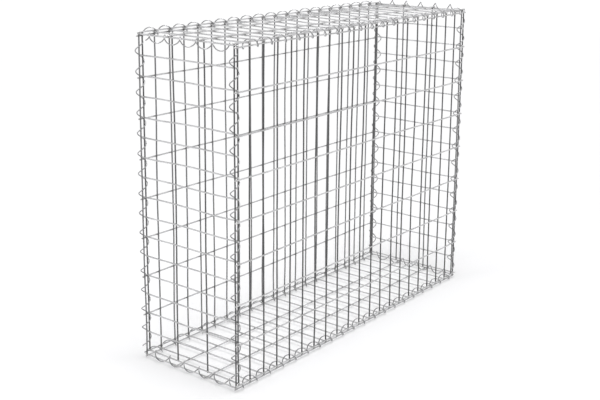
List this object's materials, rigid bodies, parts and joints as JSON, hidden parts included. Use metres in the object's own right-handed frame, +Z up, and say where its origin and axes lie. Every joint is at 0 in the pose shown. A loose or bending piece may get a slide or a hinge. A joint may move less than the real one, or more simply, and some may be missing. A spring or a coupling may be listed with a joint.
{
  "type": "gabion basket",
  "caption": "Empty welded wire mesh gabion basket with a closed lid, its panels laced along every edge by helical wire spirals, for filling with stones as a wall block.",
  "frame": {"origin": "centre of the basket's outline at floor level, under the lowest arcs of the bottom spirals", "axes": "+X along the length (left end at -X), +Y across the depth (front at -Y), +Z up"},
  "size_m": [1.019, 0.337, 0.8391],
  "materials": {
    "mesh_wire": "hot-dip galvanised drawn steel wire, dull silver grey",
    "spiral_wire": "galvanised spring wire, slightly brighter than the mesh"
  },
  "bodies": {
    "root": {"front_panel": "mesh_wire", "back_panel": "mesh_wire", "left_end_panel": "mesh_wire", "right_end_panel": "mesh_wire", "base_panel": "mesh_wire", "lid_panel": "mesh_wire", "front_bottom_spiral": "spiral_wire", "back_bottom_spiral": "spiral_wire", "front_top_spiral": "spiral_wire", "back_top_spiral": "spiral_wire", "left_bottom_spiral": "spiral_wire", "right_bottom_spiral": "spiral_wire", "left_top_spiral": "spiral_wire", "right_top_spiral": "spiral_wire", "front_left_spiral": "spiral_wire", "back_left_spiral": "spiral_wire", "front_right_spiral": "spiral_wire", "back_right_spiral": "spiral_wire"}
  },
  "joints": []
}
